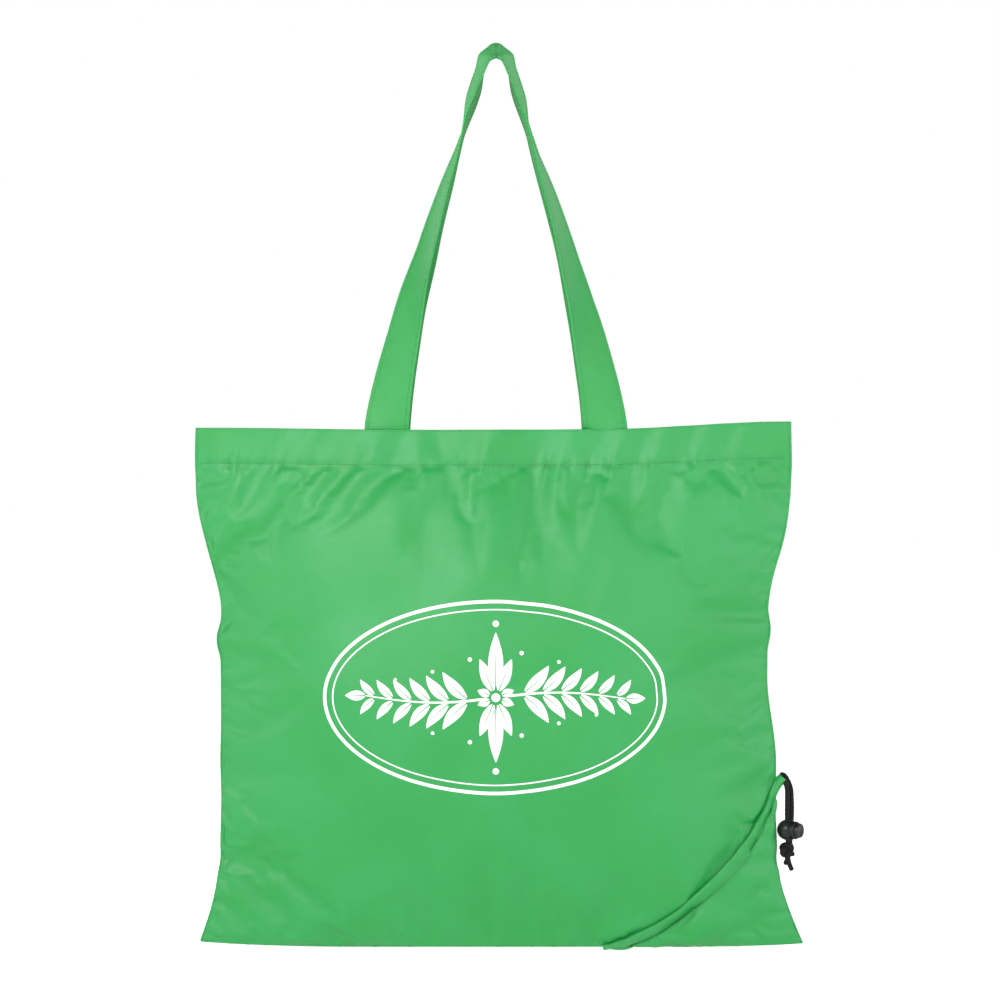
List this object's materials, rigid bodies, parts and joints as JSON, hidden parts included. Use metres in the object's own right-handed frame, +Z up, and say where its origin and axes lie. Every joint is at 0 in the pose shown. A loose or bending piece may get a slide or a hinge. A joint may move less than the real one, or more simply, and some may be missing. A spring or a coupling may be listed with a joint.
{
  "type": "foldable tote bag",
  "caption": "Lightweight foldable shopping bag with shoulder-strap handles, a hemmed mouth and a drawstring corner pouch closed by a cord lock.",
  "frame": {"origin": "middle of the bottom seam, at its lower edge and half way through the bag's depth", "axes": "+X to the right seen from the front, -Y out of the front panel, +Z up towards the handles"},
  "size_m": [0.4258, 0.0824, 0.6359],
  "materials": {
    "bag_fabric": "thin woven polyester with a soft sheen",
    "strap_webbing": "folded and stitched strap of the same fabric",
    "thread": "matt sewing thread",
    "cord": "braided polyester cord",
    "lock_plastic": "satin moulded plastic",
    "spring_steel": "bright wire"
  },
  "bodies": {
    "bag_upper": {"front_panel_upper": "bag_fabric", "rear_panel_upper": "bag_fabric", "front_hem": "bag_fabric", "rear_hem": "bag_fabric", "front_hem_stitching": "thread", "rear_hem_stitching": "thread", "side_seams_upper": "bag_fabric", "front_handle_ends": "strap_webbing", "rear_handle_ends": "strap_webbing"},
    "bag_lower": {"front_panel_lower": "bag_fabric", "rear_panel_lower": "bag_fabric", "side_seams_lower": "bag_fabric", "bottom_seam": "bag_fabric", "pouch_front": "bag_fabric", "pouch_rear": "bag_fabric", "pouch_casing_front": "bag_fabric", "pouch_casing_rear": "bag_fabric", "casing_stitching": "thread", "casing_end_tab": "bag_fabric", "casing_bottom_tab": "bag_fabric", "pouch_cord": "cord"},
    "front_handle": {"front_handle": "strap_webbing", "front_handle_stitching": "thread"},
    "rear_handle": {"rear_handle": "strap_webbing", "rear_handle_stitching": "thread"},
    "drawcord": {"cord_strands": "cord", "cord_knot": "cord"},
    "cord_lock": {"cord_lock_body": "lock_plastic", "cord_lock_spring": "spring_steel"},
    "lock_button": {"cord_lock_button": "lock_plastic"}
  },
  "joints": [
    {"name": "bag_fold", "type": "hinge", "parent": "bag_upper", "child": "bag_lower", "pos_m": [0, -0.0428, 0.181], "axis": [1, 0, 0], "range_deg": [-175, 0]},
    {"name": "front_handle_swing", "type": "hinge", "parent": "bag_upper", "child": "front_handle", "pos_m": [0, -0.0148, 0.3632], "axis": [1, 0, 0], "range_deg": [0, 155]},
    {"name": "rear_handle_swing", "type": "hinge", "parent": "bag_upper", "child": "rear_handle", "pos_m": [0, 0.0148, 0.3632], "axis": [1, 0, 0], "range_deg": [-155, 0]},
    {"name": "cord_swing", "type": "hinge", "parent": "bag_lower", "child": "drawcord", "pos_m": [0.2012, 0, 0.118], "axis": [0, 1, 0], "range_deg": [-80, 0]},
    {"name": "cord_lock_slide", "type": "slide", "parent": "drawcord", "child": "cord_lock", "axis": [0, 0, 1], "range_m": [0, 0.012]},
    {"name": "button_press", "type": "slide", "parent": "cord_lock", "child": "lock_button", "axis": [0.8192, -0.5736, 0], "range_m": [-0.0024, 0], "stiffness_N_per_m": 60, "springref_m": 0.0004}
  ]
}
